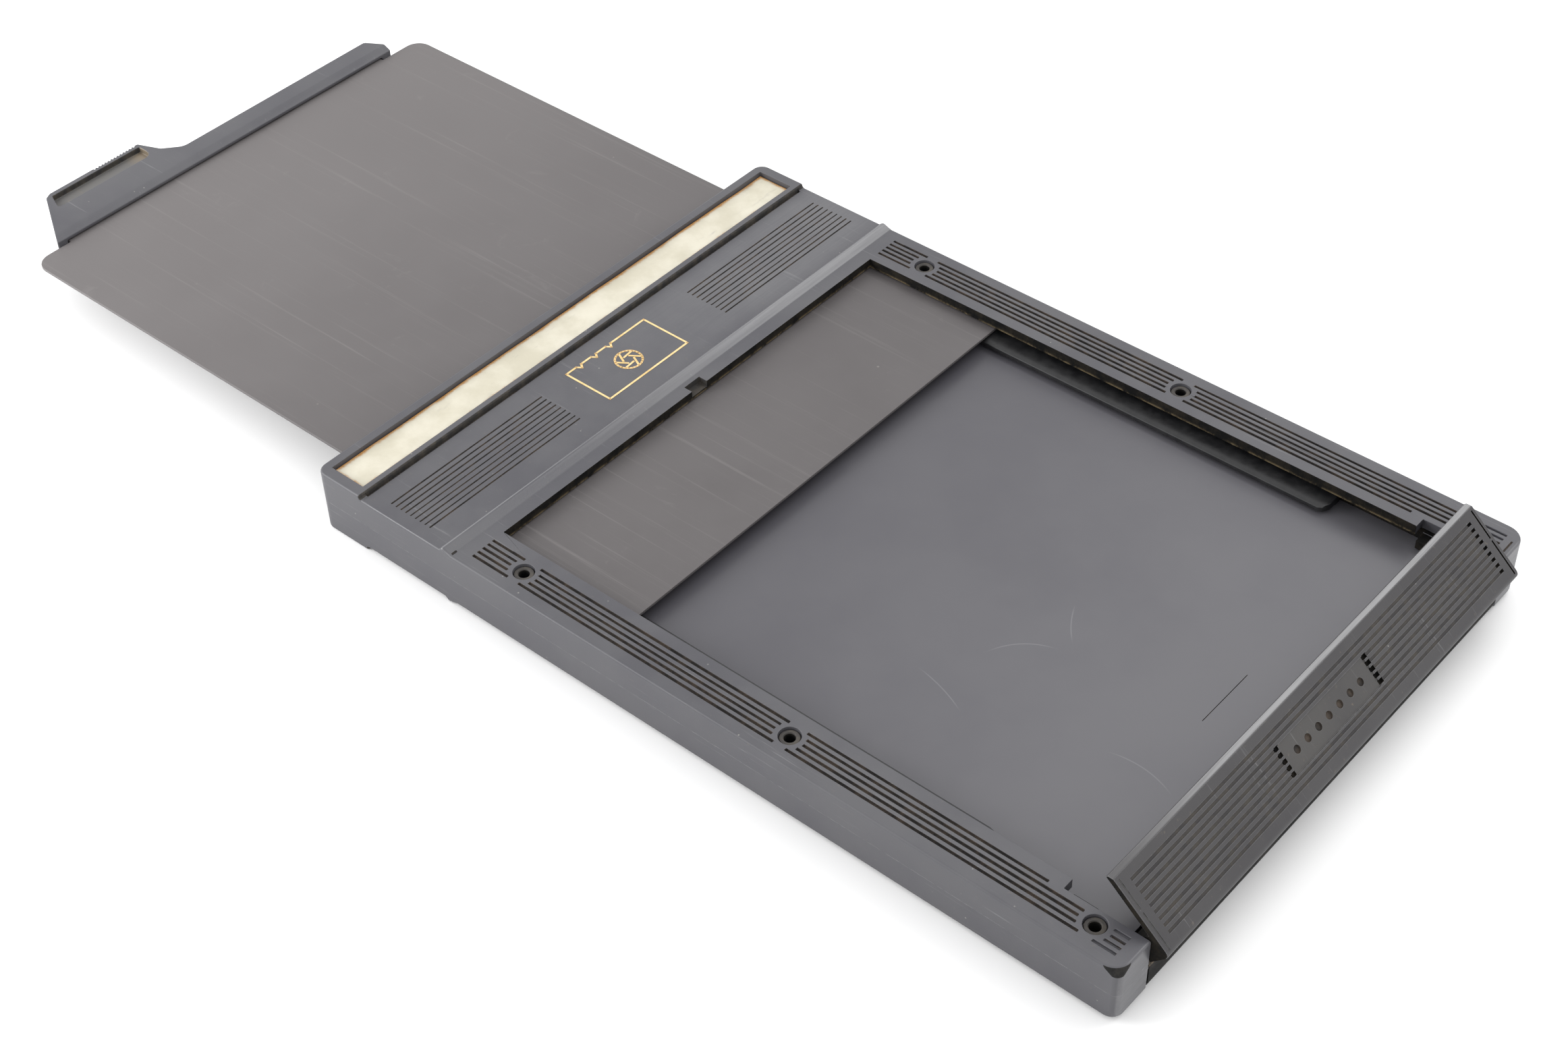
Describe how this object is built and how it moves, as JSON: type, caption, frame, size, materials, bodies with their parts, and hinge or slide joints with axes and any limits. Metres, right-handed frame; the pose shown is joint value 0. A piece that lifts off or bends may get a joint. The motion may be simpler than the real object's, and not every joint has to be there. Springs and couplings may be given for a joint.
{
  "type": "sheet film holder",
  "caption": "Double-sided sheet film holder with a sliding dark slide, a hinged loading flap and a card writing strip on each face, front slide drawn halfway and front flap ajar.",
  "frame": {"origin": "middle of the back label frame's border at the head end, which rests on the table", "axes": "+X from the slide handles to the loading flaps along the holder's length, +Y across its width, +Z out of the front face"},
  "size_m": [0.2828, 0.1206, 0.0202],
  "materials": {
    "front_shell": "satin charcoal moulded plastic, dusty and worn at the edges",
    "back_shell": "satin charcoal moulded plastic, dusty and worn at the edges",
    "septum": "smooth bluish charcoal plastic with faint scratches",
    "front_dark_slide": "matte brownish grey hard plastic plate, scuffed along its length",
    "front_slide_handle": "satin charcoal moulded plastic, dusty and worn at the edges",
    "front_flap": "satin charcoal moulded plastic, dusty and worn at the edges",
    "front_writing_strip": "ivory card, toasted at the edges",
    "front_film_rail_near": "black moulded plastic",
    "front_film_rail_far": "black moulded plastic",
    "front_trap_velvet": "black pile",
    "front_trap_spring": "thin spring leaf",
    "back_dark_slide": "matte brownish grey hard plastic plate, scuffed along its length",
    "back_slide_handle": "satin charcoal moulded plastic, dusty and worn at the edges",
    "back_flap": "satin charcoal moulded plastic, dusty and worn at the edges",
    "back_writing_strip": "ivory card, toasted at the edges",
    "back_film_rail_near": "black moulded plastic",
    "back_film_rail_far": "black moulded plastic",
    "back_trap_velvet": "black pile",
    "back_trap_spring": "thin spring leaf",
    "rivet_1": "blackened tubular rivet",
    "rivet_2": "blackened tubular rivet",
    "rivet_3": "blackened tubular rivet",
    "rivet_4": "blackened tubular rivet",
    "rivet_5": "blackened tubular rivet",
    "rivet_6": "blackened tubular rivet"
  },
  "bodies": {
    "holder": {"front_shell": "front_shell", "back_shell": "back_shell", "septum": "septum", "front_writing_strip": "front_writing_strip", "front_film_rail_near": "front_film_rail_near", "front_film_rail_far": "front_film_rail_far", "front_trap_velvet": "front_trap_velvet", "front_trap_spring": "front_trap_spring", "back_writing_strip": "back_writing_strip", "back_film_rail_near": "back_film_rail_near", "back_film_rail_far": "back_film_rail_far", "back_trap_velvet": "back_trap_velvet", "back_trap_spring": "back_trap_spring", "rivet_1": "rivet_1", "rivet_2": "rivet_2", "rivet_3": "rivet_3", "rivet_4": "rivet_4", "rivet_5": "rivet_5", "rivet_6": "rivet_6"},
    "front_slide": {"front_dark_slide": "front_dark_slide", "front_slide_handle": "front_slide_handle"},
    "back_slide": {"back_dark_slide": "back_dark_slide", "back_slide_handle": "back_slide_handle"},
    "front_flap": {"front_flap": "front_flap"},
    "back_flap": {"back_flap": "back_flap"}
  },
  "joints": [
    {"name": "front_slide_pull", "type": "slide", "parent": "holder", "child": "front_slide", "axis": [1, 0, 0], "range_m": [-0.06, 0.0924]},
    {"name": "back_slide_pull", "type": "slide", "parent": "holder", "child": "back_slide", "axis": [-1, 0, 0], "range_m": [0, 0.1524]},
    {"name": "front_flap_hinge", "type": "hinge", "parent": "holder", "child": "front_flap", "pos_m": [0.1715, 0, 0.0071], "axis": [0, 1, 0], "range_deg": [-41.4, 48.6]},
    {"name": "back_flap_hinge", "type": "hinge", "parent": "holder", "child": "back_flap", "pos_m": [0.1715, 0, 0.0059], "axis": [0, -1, 0], "range_deg": [0, 90]}
  ]
}
